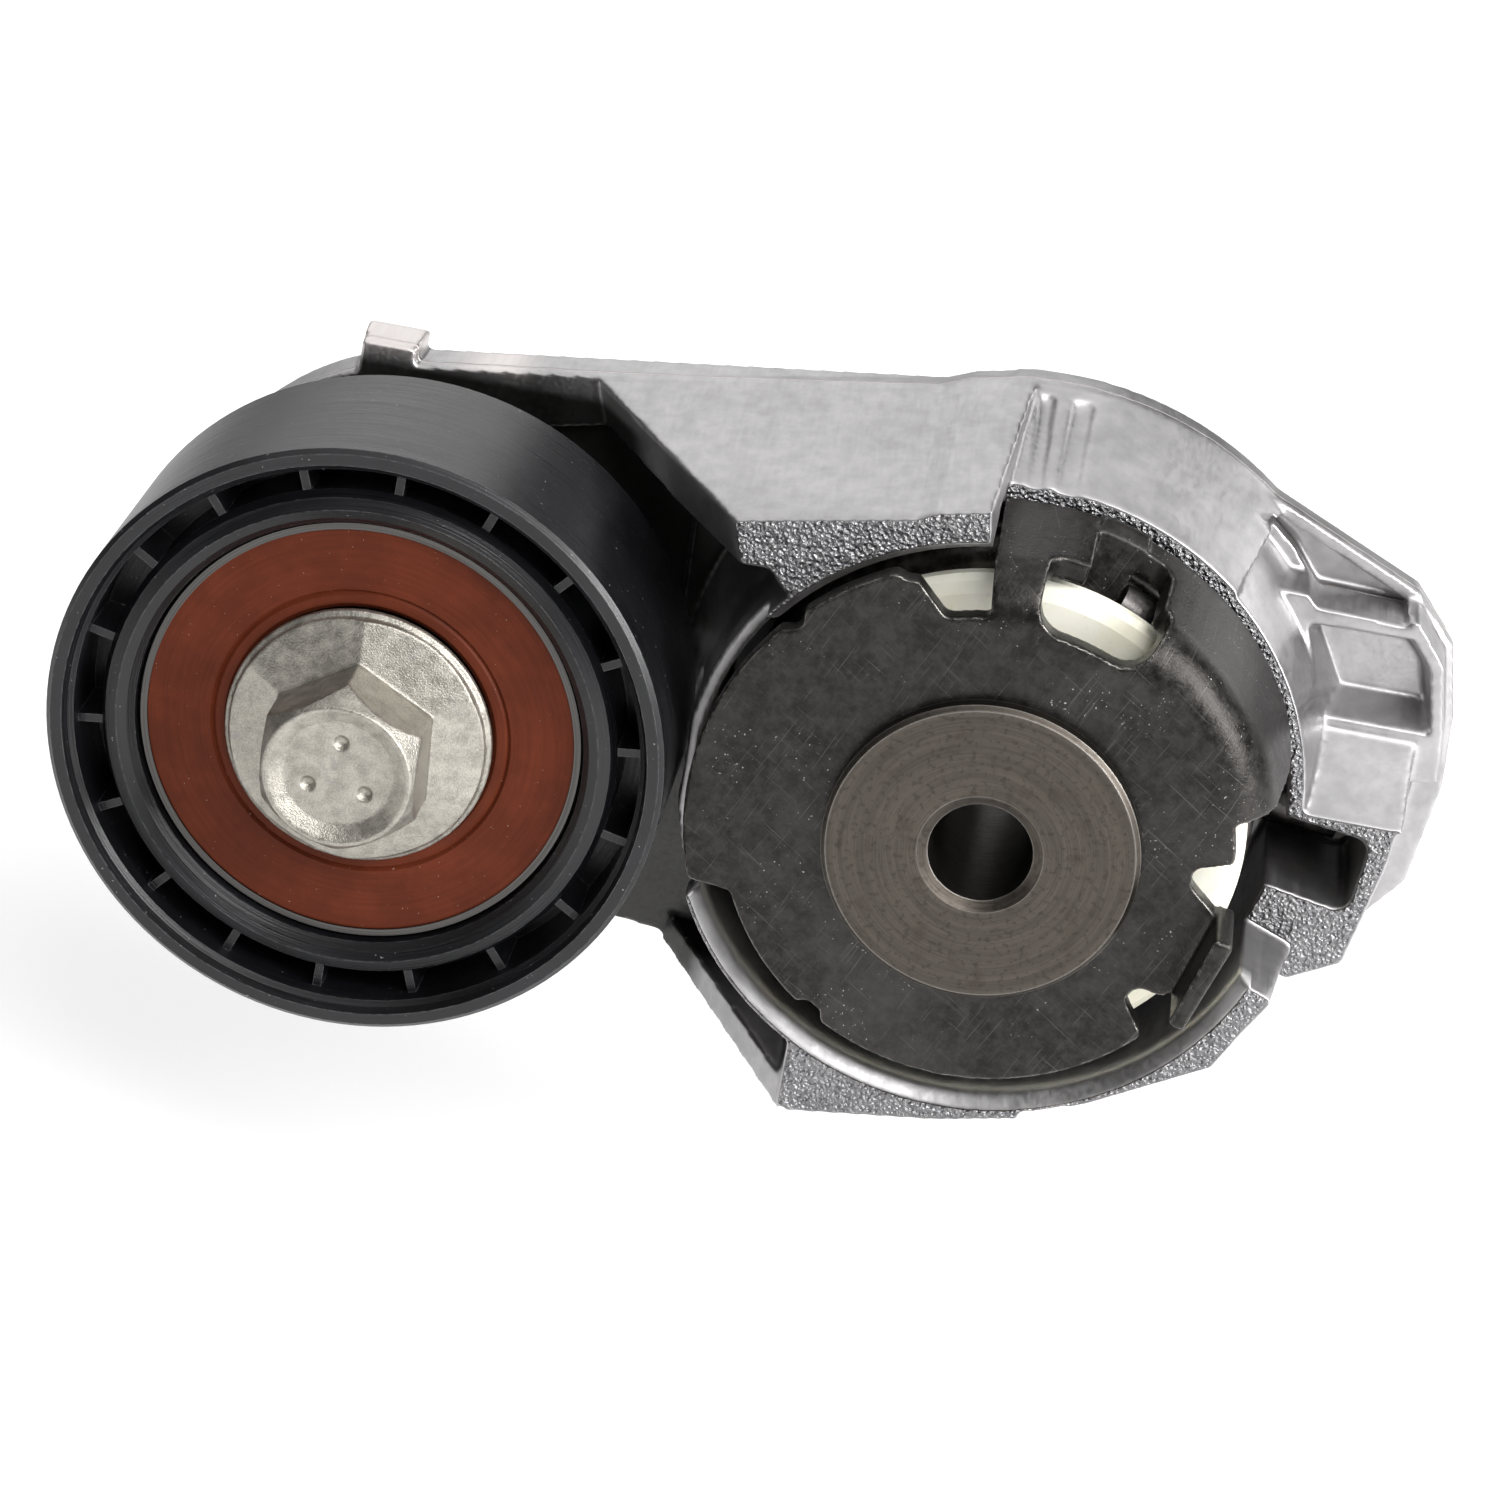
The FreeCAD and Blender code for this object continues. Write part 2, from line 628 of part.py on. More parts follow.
def arm_housing():
    outside = fused([
        cup_outside(), tapered_arm(ARM_BACK_Z, ARM_FRONT_Z, CUP_BACK_R, ARM_END_R), upper_block(),
        lower_corner(), lower_rib(), lower_right_flank(), wing_flange(), wing_block(), pocket_block(),
        casting_lug(), top_flare(), top_flange(), cylinder(BOSS_R, ARM_BACK_Z, BOSS_TOP_Z, PULLEY_X),
    ])
    scallop = cylinder(PULLEY_R + PULLEY_GAP, ARM_FRONT_Z + 12.0, 5, PULLEY_X)
    scallop = scallop.cut(cylinder(BOSS_R, -50, 10, PULLEY_X))
    hollow = outside.cut(cylinder(CUP_R, CUP_FLOOR_Z, 5))
    skirt_room = ring_sector(CUP_FRONT_R + 0.7, 24, CUP_LOW_RIM_Z, 5, LOAD_STOP_ANGLE, REST_STOP_ANGLE)
    low_rim = ring_sector(60, 24, CUP_LOW_RIM_Z, 5, LOAD_STOP_ANGLE, 80.0)
    left_rim = ring_sector(34.5, 28, LEFT_RIM_Z, 5, LEFT_RIM_START, LEFT_RIM_END)
    cuts = [mouth_chamfer(), skirt_room, low_rim, left_rim, scallop, wing_recess(), pocket(), web_hollow(),
            back_groove()]
    for tool in cuts + wall_grooves() + back_pockets():
        hollow = hollow.cut(tool)
    whole = fused([hollow, cylinder(BARREL_R, ARM_BACK_Z, BARREL_TOP_Z)] + back_ribs())
    whole = whole.cut(cylinder(BUSH_R, ARM_BACK_Z - 1, BARREL_TOP_Z + 1))
    return whole.cut(cylinder(INSERT_R, -50, BOSS_TOP_Z + 1, PULLEY_X)).removeSplitter()


def pivot_bush(low, high):
    return ring(BUSH_R, SHAFT_R + BUSH_CLEARANCE, low, high)


def thread_insert():
    """The steel insert in the arm's boss that the pulley bolt screws into."""
    return ring(INSERT_R, BOLT_R + 0.02, ARM_BACK_Z + 0.4, BOSS_TOP_Z, PULLEY_X)


def hexagon(corner_r):
    """The corners of the bolt's hexagon, as wide as asked."""
    corners = [polar(corner_r, BOLT_HEX_TURN + 60 * k) for k in range(6)]
    return [(corner.x, corner.y) for corner in corners]


def bolt_flange():
    """The bolt's round flange, its top sloping down in six flats from the hexagon."""
    foot_z = BEARING_FRONT_Z + 0.9
    top_z = foot_z + 2.6
    spread_r = 17.6
    edge = 0.3
    rim_r = BOLT_FLANGE_R - 2 * edge
    slopes = drafted(hexagon(spread_r), foot_z, hexagon(BOLT_HEX_AF / math.sqrt(3)), top_z)
    foot = cylinder(BOLT_FLANGE_R, BEARING_FRONT_Z, foot_z)
    limit = lathe([
        (0, BEARING_FRONT_Z), (BOLT_FLANGE_R - edge, BEARING_FRONT_Z), (BOLT_FLANGE_R, BEARING_FRONT_Z + edge),
        (BOLT_FLANGE_R, foot_z), (rim_r, foot_z + edge), (rim_r, top_z), (0, top_z),
    ])
    return fused([slopes, foot]).common(limit)


def pulley_bolt():
    """A flanged hex bolt, its round crown dished and marked with three plain dimples."""
    dish_depth = 1.0
    dimple_r = 0.9
    head = prism(hexagon(BOLT_HEX_AF / math.sqrt(3)), BEARING_FRONT_Z + 0.5, BOLT_TOP_Z)
    crown = lathe([(0, BEARING_FRONT_Z), (9.6, BEARING_FRONT_Z), (9.6, BOLT_TOP_Z - 3.2),
                   (BOLT_CROWN_R, BOLT_TOP_Z), (0, BOLT_TOP_Z)])
    head = fused([head.common(crown), bolt_flange()])
    dish_z = BOLT_TOP_Z - dish_depth
    lip_r = BOLT_CROWN_R - 0.4
    head = head.cut(lathe([(0, dish_z), (5.6, dish_z), (lip_r, BOLT_TOP_Z), (lip_r, 15), (0, 15)]))
    for k in range(3):
        head = head.cut(Part.makeSphere(dimple_r, polar(3.4, 90 + 120 * k, dish_z + 0.3)))
    shank = lathe([(0, BOLT_END_Z), (BOLT_R - 1, BOLT_END_Z), (BOLT_R, BOLT_END_Z + 1),
                   (BOLT_R, BEARING_FRONT_Z), (0, BEARING_FRONT_Z)])
    bolt = fused([head, shank])
    bolt.translate(vec(PULLEY_X, 0, 0))
    return bolt


def bearing_sleeve():
    """The sleeve between the bolt and the bearing's bore."""
    return ring(BEARING_BORE_R, BOLT_R + 0.15, BEARING_BACK_Z, BEARING_FRONT_Z, PULLEY_X)


def dust_shield():
    """The dished disc between the arm's boss and the bearing's inner ring."""
    return lathe([
        (BOLT_R + 0.15, BOSS_TOP_Z), (21.4, BOSS_TOP_Z), (21.4, BOSS_TOP_Z + 0.9), (12.6, BOSS_TOP_Z + 0.9),
        (12.0, BEARING_BACK_Z), (BOLT_R + 0.15, BEARING_BACK_Z),
    ], x=PULLEY_X)


def torsion_spring():
    """A round wire wound right-handed, from the base plate's tongue down to the tang in the arm's pocket."""
    turns = COIL_FULL_TURNS + (COIL_START - COIL_END) / 360
    height = COIL_TOP_Z - COIL_END_Z
    path = Part.makeHelix(height / turns, height, COIL_R)
    path.rotate(ORIGIN, AXIS, COIL_END)
    path.translate(vec(0, 0, COIL_END_Z))
    start = polar(COIL_R, COIL_END, COIL_END_Z)
    along = polar(1, COIL_END + 90)
    section = Part.Wire(Part.makeCircle(WIRE_R, start, along))
    coil = path.makePipeShell([section], True, True)
    leg = Part.makeCylinder(WIRE_R, TANG_LENGTH, start, polar(1, COIL_END))
    elbow = Part.makeSphere(WIRE_R, start)
    return fused([coil, elbow, leg])


# ---- the pulley ----------------------------------------------------------------------------------

def pulley_rim():
    """The moulded pulley: a belt shell, a web and a ring on the bearing, with ribs in its front groove."""
    web_front = -7.5
    web_back = -11.5
    land = 1.7
    profile = [
        (BEARING_OUTER_R, -17.6), (25.2, -18.0), (26.4, -17.4), (HUB_RING_R, -16.0), (HUB_RING_R, web_back),
        (SHELL_R, web_back), (SHELL_R, PULLEY_BACK_Z + 0.6), (SHELL_R + 0.6, PULLEY_BACK_Z),
        (PULLEY_R - 0.5, PULLEY_BACK_Z), (PULLEY_R, PULLEY_BACK_Z + 0.5), (PULLEY_R, PULLEY_FRONT_Z - 0.5),
        (PULLEY_R - 0.5, PULLEY_FRONT_Z), (PULLEY_R - land, PULLEY_FRONT_Z),
        (SHELL_R + 0.5, PULLEY_FRONT_Z - 0.9), (SHELL_R, PULLEY_FRONT_Z - 1.5), (SHELL_R, web_front),
        (HUB_RING_R, web_front), (HUB_RING_R, -0.6),
        (26.4, 0.4), (25.2, 0.9), (24.2, 0.4), (BEARING_OUTER_R, -0.4),
    ]
    ribs = []
    for k in range(RIB_COUNT):
        rib = Part.makeBox(3.2, RIB_T, 6.9, vec(26.7, -RIB_T / 2, web_front - 0.1))
        rib.rotate(ORIGIN, AXIS, RIB_START + k * 360 / RIB_COUNT)
        rib.translate(vec(PULLEY_X, 0, 0))
        ribs.append(rib)
    return fused([lathe(profile, x=PULLEY_X)] + ribs)


def race_groove():
    torus = Part.makeTorus(PITCH_R, BALL_R + RACE_CLEARANCE)
    torus.translate(vec(PULLEY_X, 0, BEARING_MID_Z))
    return torus


def bearing_outer_ring():
    edge = 0.4
    step = SEAL_DEPTH + SEAL_T
    profile = [
        (OUTER_SHOULDER_R, BEARING_BACK_Z + step), (SEAL_R, BEARING_BACK_Z + step), (SEAL_R, BEARING_BACK_Z),
        (BEARING_OUTER_R - edge, BEARING_BACK_Z), (BEARING_OUTER_R, BEARING_BACK_Z + edge),
        (BEARING_OUTER_R, BEARING_FRONT_Z - edge), (BEARING_OUTER_R - edge, BEARING_FRONT_Z),
        (SEAL_R, BEARING_FRONT_Z), (SEAL_R, BEARING_FRONT_Z - step), (OUTER_SHOULDER_R, BEARING_FRONT_Z - step),
    ]
    return lathe(profile, x=PULLEY_X).cut(race_groove())


def bearing_inner_ring():
    edge = 0.4
    profile = [
        (BEARING_BORE_R, BEARING_BACK_Z), (INNER_SHOULDER_R - edge, BEARING_BACK_Z),
        (INNER_SHOULDER_R, BEARING_BACK_Z + edge), (INNER_SHOULDER_R, BEARING_FRONT_Z - edge),
        (INNER_SHOULDER_R - edge, BEARING_FRONT_Z), (BEARING_BORE_R, BEARING_FRONT_Z),
    ]
    return lathe(profile, x=PULLEY_X).cut(race_groove())


def seal(front):
    """A bearing seal with a fine groove round its lip; front is True for the one under the bolt's head."""
    inner = 13.8
    groove_r = 15.5
    face = SEAL_T / 2
    back = -SEAL_T / 2
    profile = [
        (inner, back), (SEAL_R, back), (SEAL_R, face), (groove_r + 0.3, face), (groove_r, face - 0.3),
        (groove_r - 0.3, face), (inner + 0.5, face), (inner, face - 0.4),
    ]
    disc = lathe(profile)
    offset = SEAL_DEPTH + SEAL_T / 2
    if front:
        disc.translate(vec(PULLEY_X, 0, BEARING_FRONT_Z - offset))
        return disc
    disc.rotate(ORIGIN, vec(1, 0, 0), 180)
    disc.translate(vec(PULLEY_X, 0, BEARING_BACK_Z + offset))
    return disc


def ball_centres():
    on_axis = [polar(PITCH_R, 360 * k / BALL_COUNT, BEARING_MID_Z) for k in range(BALL_COUNT)]
    return [centre.add(vec(PULLEY_X, 0)) for centre in on_axis]


def bearing_balls():
    return Part.makeCompound([Part.makeSphere(BALL_R, centre) for centre in ball_centres()])


def bearing_cage():
    cage = ring(17.3, 14.7, BEARING_MID_Z - 5.2, BEARING_MID_Z + 5.2, PULLEY_X)
    axis_point = vec(PULLEY_X, 0, BEARING_MID_Z)
    for centre in ball_centres():
        cage = cage.cut(Part.makeCylinder(BALL_R + 0.08, 20, axis_point, centre.sub(axis_point)))
    return cage


# ---- export --------------------------------------------------------------------------------------

def all_parts():
    parts = {
        "pivot_shaft": pivot_shaft(),
        "base_plate": base_plate(),
        "spring_guide": spring_guide(),
        "thrust_washer": thrust_washer(),
        "friction_washer": friction_washer(),
        "end_washer": end_washer(),
        "arm_housing": arm_housing(),
        "thread_insert": thread_insert(),
        "pulley_bolt": pulley_bolt(),
        "bearing_sleeve": bearing_sleeve(),
        "dust_shield": dust_shield(),
        "bearing_inner_ring": bearing_inner_ring(),
        "torsion_spring": torsion_spring(),
        "pulley_rim": pulley_rim(),
        "bearing_outer_ring": bearing_outer_ring(),
        "seal_front": seal(True),
        "seal_rear": seal(False),
        "bearing_balls": bearing_balls(),
        "bearing_cage": bearing_cage(),
    }
    for name, (low, high) in BUSHES.items():
        parts[name] = pivot_bush(low, high)
    return parts


def main():
    os.makedirs("parts", exist_ok=True)
    for name, shape in all_parts().items():
        solid = place(shape)
        print(name, "valid", solid.isValid(), "solids", len(solid.Solids), "volume", round(solid.Volume, 1))
        solid.exportStep("parts/" + name + ".step")


main()
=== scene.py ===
"""The belt tensioner's looks: procedural materials, softened castings, a copy of the spring, a studio."""

import json

import bpy
from mathutils import Matrix, Vector


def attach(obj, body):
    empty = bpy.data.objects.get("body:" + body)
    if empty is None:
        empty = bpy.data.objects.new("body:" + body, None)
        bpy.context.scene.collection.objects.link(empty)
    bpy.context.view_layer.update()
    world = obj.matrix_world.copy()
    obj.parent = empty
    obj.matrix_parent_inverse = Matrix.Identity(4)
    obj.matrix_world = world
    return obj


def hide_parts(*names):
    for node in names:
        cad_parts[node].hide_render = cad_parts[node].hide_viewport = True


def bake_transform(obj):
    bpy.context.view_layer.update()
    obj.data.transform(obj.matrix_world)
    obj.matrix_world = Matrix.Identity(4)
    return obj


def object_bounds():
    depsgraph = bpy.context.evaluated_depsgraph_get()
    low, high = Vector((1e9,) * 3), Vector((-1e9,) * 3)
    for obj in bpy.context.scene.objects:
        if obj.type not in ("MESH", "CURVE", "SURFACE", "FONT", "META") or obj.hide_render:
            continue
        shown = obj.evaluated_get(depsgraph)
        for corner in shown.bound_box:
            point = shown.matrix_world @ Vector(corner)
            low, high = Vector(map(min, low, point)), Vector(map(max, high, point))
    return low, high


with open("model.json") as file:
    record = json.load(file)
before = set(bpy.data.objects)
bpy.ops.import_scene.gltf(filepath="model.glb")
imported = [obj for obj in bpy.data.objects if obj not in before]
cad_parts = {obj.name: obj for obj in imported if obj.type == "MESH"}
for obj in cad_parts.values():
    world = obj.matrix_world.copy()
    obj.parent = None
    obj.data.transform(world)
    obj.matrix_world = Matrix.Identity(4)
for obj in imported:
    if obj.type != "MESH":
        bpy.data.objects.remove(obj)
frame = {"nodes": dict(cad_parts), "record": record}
CAD_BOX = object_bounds()
NODES = frame["nodes"]
MM = 0.001


# ---- places --------------------------------------------------------------------------------------

def joint_place(name):
    for joint in frame["record"]["behaviour"]["joints"]:
        if joint["name"] == name:
            return Vector(joint["pos_m"])
    raise ValueError(name)


PIVOT = joint_place("arm_pivot")
WHEEL = joint_place("pulley_spin")

# Set to the CAD's shapes, along the frame's axes. Each pair is where a change starts and ends.
PARTING_DEPTH = 36.5 * MM               # where the two halves of the housing's mould met
FRONT_FACES_END = (7.8 * MM, 8.6 * MM)  # the front faces are rough down to here
LOW_RIM_START = (19.6 * MM, 20.0 * MM)  # so is the rim under the skirt
LOW_RIM_END = (20.8 * MM, 21.4 * MM)
WEB_DEPTH = (24 * MM, 29 * MM)          # the web behind the pulley, where a shadow is painted dark
WEB_SIDE = (0.0, -6 * MM)
WEB_TOP = (29 * MM, 27.5 * MM)
WEB_FLOOR = (-22 * MM, -25 * MM)
LUG_FOOT = (28.5 * MM, 29.5 * MM)       # the casting lug on the arm's end
LUG_SIDE = (-55 * MM, -60 * MM)
LIP_RADIUS = 32.3 * MM                  # the rolled mouth of the spring cup
LIP_FRONT = 4.8 * MM
LIP_BACK = 9.6 * MM
BORE_EDGE = (5.3 * MM, 5.5 * MM)        # the hub's bore is painted dark inside, as shade


# ---- materials -----------------------------------------------------------------------------------

class Look:
    """One procedural material on a Principled shader. Sizes of patterns and relief are in millimetres."""

    def __init__(self, name, metallic=0.0, roughness=0.5, color=(0.8, 0.8, 0.8), **sockets):
        self.material = bpy.data.materials.new(name)
        self.material.use_nodes = True
        self.tree = self.material.node_tree
        self.shader = self.tree.nodes["Principled BSDF"]
        self.set("Metallic", metallic)
        self.set("Roughness", roughness)
        self.set("Base Color", (*color, 1))
        for socket, value in sockets.items():
            self.set(socket.replace("_", " "), value)
        coordinates = self.add("ShaderNodeTexCoord")
        self.place = coordinates.outputs["Object"]
        self.facing = coordinates.outputs["Normal"]

    def add(self, kind, **settings):
        node = self.tree.nodes.new(kind)
        for key, value in settings.items():
            setattr(node, key, value)
        return node

    def set(self, socket, value):
        """Joins an output to the shader's socket, or sets a plain value on it."""
        self.feed(self.shader.inputs[socket], value)

    def feed(self, socket, value):
        if isinstance(value, bpy.types.NodeSocket):
            self.tree.links.new(value, socket)
        else:
            socket.default_value = value

    def math(self, operation, a, b=0.0):
        node = self.add("ShaderNodeMath", operation=operation)
        for socket, value in zip(node.inputs, (a, b)):
            self.feed(socket, value)
        return node.outputs[0]

    def times(self, a, b):
        return self.math("MULTIPLY", a, b)

    def plus(self, a, b):
        return self.math("ADD", a, b)

    def vector(self, operation, a, b=(0, 0, 0)):
        node = self.add("ShaderNodeVectorMath", operation=operation)
        self.feed(node.inputs[0], a)
        self.feed(node.inputs[1], b)
        return node.outputs["Value" if operation == "DOT_PRODUCT" else "Vector"]

    def split(self, vector):
        node = self.add("ShaderNodeSeparateXYZ")
        self.feed(node.inputs[0], vector)
        return node.outputs

    def join(self, x, y, z):
        node = self.add("ShaderNodeCombineXYZ")
        for socket, value in zip(node.inputs, (x, y, z)):
            self.feed(socket, value)
        return node.outputs[0]

    def from_centre(self, centre):
        return self.vector("SUBTRACT", self.place, tuple(centre))

    def ring_place(self, centre):
        """(radius, angle, depth) about an axis along Y, for turned and moulded round parts."""
        x, y, z = self.split(self.from_centre(centre))
        radius = self.math("SQRT", self.plus(self.times(x, x), self.times(z, z)))
        angle = self.math("ARCTAN2", z, x)
        return radius, angle, y

    def noise(self, size, detail=4.0, roughness=0.55, distortion=0.0, where=None, stretch=(1, 1, 1)):
        """Noise with features about as big as size, in millimetres."""
        source = self.place if where is None else where
        scaled = self.vector("MULTIPLY", source, tuple(s / (size * MM) for s in stretch))
        node = self.add("ShaderNodeTexNoise")
        self.feed(node.inputs["Vector"], scaled)
        node.inputs["Scale"].default_value = 1.0
        node.inputs["Detail"].default_value = detail
        node.inputs["Roughness"].default_value = roughness
        node.inputs["Distortion"].default_value = distortion
        return node.outputs["Fac"]

    def cells(self, size):
        """Round grains about as big as size, in millimetres."""
        node = self.add("ShaderNodeTexVoronoi", feature="F1")
        self.feed(node.inputs["Vector"], self.vector("MULTIPLY", self.place, (1 / (size * MM),) * 3))
        node.inputs["Scale"].default_value = 1.0
        node.inputs["Randomness"].default_value = 1.0
        return node.outputs["Distance"]

    def remap(self, value, low, high, to_low=0.0, to_high=1.0, smooth=True):
        node = self.add("ShaderNodeMapRange", interpolation_type="SMOOTHSTEP" if smooth else "LINEAR")
        for socket, v in zip(node.inputs, (value, low, high, to_low, to_high)):
            self.feed(socket, v)
        return node.outputs[0]

    def mix(self, factor, a, b):
        node = self.add("ShaderNodeMix", data_type="RGBA")
        self.feed(node.inputs["Factor"], factor)
        colors = [s for s in node.inputs if s.type == "RGBA"]
        for socket, value in zip(colors, (a, b)):
            self.feed(socket, (*value, 1) if isinstance(value, tuple) and len(value) == 3 else value)
        return [s for s in node.outputs if s.type == "RGBA"][0]

    def scale_color(self, color, factor):
        """color made lighter or darker by a factor that varies over the surface."""
        node = self.add("ShaderNodeMix", data_type="RGBA", blend_type="MULTIPLY")
        node.inputs["Factor"].default_value = 1.0
        colors = [s for s in node.inputs if s.type == "RGBA"]
        self.feed(colors[0], (*color, 1))
        grey = self.join(factor, factor, factor)
        self.tree.links.new(grey, colors[1])
        return [s for s in node.outputs if s.type == "RGBA"][0]

    def bump(self, height, depth, normal=None):
        """Relief of that depth, in millimetres, where height goes from 0 to 1."""
        node = self.add("ShaderNodeBump")
        node.inputs["Strength"].default_value = 1.0
        node.inputs["Distance"].default_value = depth * MM
        self.feed(node.inputs["Height"], height)
        if normal is not None:
            self.feed(node.inputs["Normal"], normal)
        self.set("Normal", node.outputs[0])

    def edges(self, width, sharpness=0.02):
        """About 1 on edges and 0 elsewhere, from how much a rounded normal turns away."""
        bevel = self.add("ShaderNodeBevel", samples=4)
        bevel.inputs["Radius"].default_value = width * MM
        flat = self.add("ShaderNodeNewGeometry").outputs["True Normal"]
        turn = self.vector("DOT_PRODUCT", bevel.outputs[0], flat)
        return self.remap(turn, 1.0 - sharpness, 1.0 - 6 * sharpness)

    def band(self, value, middle, half_width):
        """1 where value is at middle, falling to 0 half_width away from it; both in metres."""
        away = self.math("ABSOLUTE", self.math("SUBTRACT", value, middle))
        return self.remap(away, 0.0, half_width, 1.0, 0.0)

    def rolled_lip(self, centre, radius, front, back):
        """The surface's normal, tilted to the front inside that radius, as if the edge were rolled over."""
        from_axis, _, depth = self.ring_place(centre)
        inside = self.remap(from_axis, radius - 0.1 * MM, radius, 1.0, 0.0)
        tilt = self.times(inside, self.remap(depth, front, back, 0.9, 0.0, smooth=False))
        normal = self.add("ShaderNodeNewGeometry").outputs["Normal"]
        leaning = self.vector("ADD", normal, self.join(0.0, self.times(tilt, -1.0), 0.0))
        return self.vector("NORMALIZE", leaning)

    def scratches(self, length, width, seed, amount):
        """Thin straight marks, as a mask: long stretched noise, cut off near its top."""
        turned = self.add("ShaderNodeVectorRotate", rotation_type="Y_AXIS")
        self.feed(turned.inputs["Vector"], self.place)
        turned.inputs["Angle"].default_value = seed * 1.1
        along = 1 / (length * MM)
        scaled = self.vector("MULTIPLY", turned.outputs[0], (along, along, 1 / (width * MM)))
        moved = self.vector("ADD", scaled, (seed * 7.3, seed * 3.1, seed * 5.7))
        node = self.add("ShaderNodeTexNoise")
        self.feed(node.inputs["Vector"], moved)
        node.inputs["Scale"].default_value = 1.0
        node.inputs["Detail"].default_value = 2.0
        return self.remap(node.outputs["Fac"], amount, amount + 0.05)


def rough_faces(look, depth, facing_front):
    """Where the casting has its orange-peel skin: on front faces, near the front and on the low rim."""
    near = look.remap(depth, *FRONT_FACES_END, 1.0, 0.0)
    low_rim = look.times(look.remap(depth, *LOW_RIM_START), look.remap(depth, *LOW_RIM_END, 1.0, 0.0))
    return look.times(look.remap(facing_front, 0.80, 0.93), look.plus(near, low_rim))


def painted_web_shadow(look, across, depth, high):
    """Where the casting is coloured dark, to stand for the shadow behind the pulley.

    It is everything deeper than the web's front on the pulley's side, so the arm's back face there is dark too.
    Walls that face up are left out, except along the web's floor.
    """
    web = look.times(look.remap(depth, *WEB_DEPTH), look.remap(across, *WEB_SIDE))
    web = look.times(web, look.remap(high, *WEB_TOP))
    not_upward = look.remap(look.split(look.facing)[2], 0.35, 0.1)
    return look.times(web, look.math("MAXIMUM", not_upward, look.remap(high, *WEB_FLOOR)))


def cast_aluminium():
    """Die-cast skin: smooth drawn walls, orange-peel front faces, and a ragged parting line at the back."""
    look = Look("cast_aluminium", metallic=1.0)
    facing_front = look.times(look.split(look.facing)[1], -1.0)
    across, depth, high = look.split(look.place)
    rough_face = rough_faces(look, depth, facing_front)
    stain = look.noise(11.0, detail=6, roughness=0.6, distortion=0.4)
    cloud = look.noise(2.2, detail=5)
    shade = look.plus(look.remap(stain, 0.3, 0.7, 0.82, 1.05), look.remap(cloud, 0.3, 0.7, -0.07, 0.07))
    base = look.scale_color((0.44, 0.432, 0.436), shade)
    pit = look.noise(0.6, detail=3, roughness=0.6, distortion=0.3)
    grain = look.cells(0.45)
    dark_pits = look.times(rough_face, look.remap(pit, 0.46, 0.34))
    base = look.mix(look.times(rough_face, 0.7), base, (0.17, 0.17, 0.175))
    # painted shadow: the web behind the pulley and the arm's back there are coloured near black
    base = look.mix(painted_web_shadow(look, across, depth, high), base, (0.052, 0.051, 0.050))
    lug = look.times(look.remap(high, *LUG_FOOT), look.remap(across, *LUG_SIDE))
    base = look.mix(look.times(lug, 0.8), base, (0.72, 0.67, 0.65))
    base = look.mix(dark_pits, base, (0.14, 0.14, 0.15))
    ragged = look.plus(depth, look.times(look.math("SUBTRACT", cloud, 0.5), 0.9 * MM))
    parting = look.band(ragged, PARTING_DEPTH, 0.35 * MM)
    flash = look.times(parting, look.remap(facing_front, 0.5, 0.2))
    worn = look.times(look.edges(0.5), look.remap(cloud, 0.42, 0.58))
    marks = look.math("MAXIMUM", look.times(flash, 0.7), look.times(worn, 0.45))
    look.set("Base Color", look.mix(marks, base, (0.60, 0.54, 0.53)))
    drag = look.noise(0.5, detail=3, stretch=(1.0, 0.06, 1.0))
    uneven = look.plus(look.times(drag, 0.5), look.times(stain, 0.5))
    smooth_rough = look.remap(uneven, 0.35, 0.65, 0.36, 0.50)
    look.set("Roughness", look.remap(rough_face, 0, 1, smooth_rough, 0.3))
    orange_peel = look.plus(look.times(pit, 1.7), grain)
    soft = look.plus(look.times(look.noise(1.6, detail=4), 0.10), look.times(drag, 0.04))
    soft = look.plus(soft, look.times(flash, 0.5))
    height = look.remap(rough_face, 0, 1, soft, orange_peel, smooth=False)
    look.bump(height, 0.33, normal=look.rolled_lip(PIVOT, LIP_RADIUS, LIP_FRONT, LIP_BACK))
    return look.material


def phosphated_steel():
    look = Look("phosphated_steel", metallic=0.8, Specular_IOR_Level=0.3)
    mottle = look.noise(1.3, detail=7, roughness=0.7)
    fine = look.noise(0.35, detail=3)
    shade = look.remap(mottle, 0.32, 0.7, 0.6, 1.45)
    base = look.scale_color((0.028, 0.026, 0.0245), shade)
    rubbed = look.remap(look.noise(16.0, detail=5), 0.45, 0.75, 0.0, 0.4)
    base = look.mix(rubbed, base, (0.075, 0.070, 0.067))
    marks = look.scratches(9, 0.10, 1.0, 0.69)
    for seed, amount in ((2.3, 0.70), (3.9, 0.70), (5.2, 0.71)):
        marks = look.math("MAXIMUM", marks, look.scratches(9, 0.09, seed, amount))
    base = look.mix(look.times(marks, 0.32), base, (0.22, 0.21, 0.20))
    dust = look.times(look.remap(look.noise(0.32, detail=1), 0.71, 0.75),
                     look.remap(look.noise(7.0), 0.5, 0.6))
    base = look.mix(look.times(dust, 0.7), base, (0.5, 0.48, 0.44))
    worn = look.times(look.edges(0.35), look.remap(look.noise(1.2, detail=4), 0.4, 0.55))
    base = look.mix(look.times(worn, 0.75), base, (0.42, 0.40, 0.37))
    look.set("Base Color", base)
    look.set("Roughness", look.remap(mottle, 0.3, 0.7, 0.27, 0.42))
    look.bump(look.plus(look.times(fine, 0.6), look.times(mottle, 0.5)), 0.05)
    return look.material


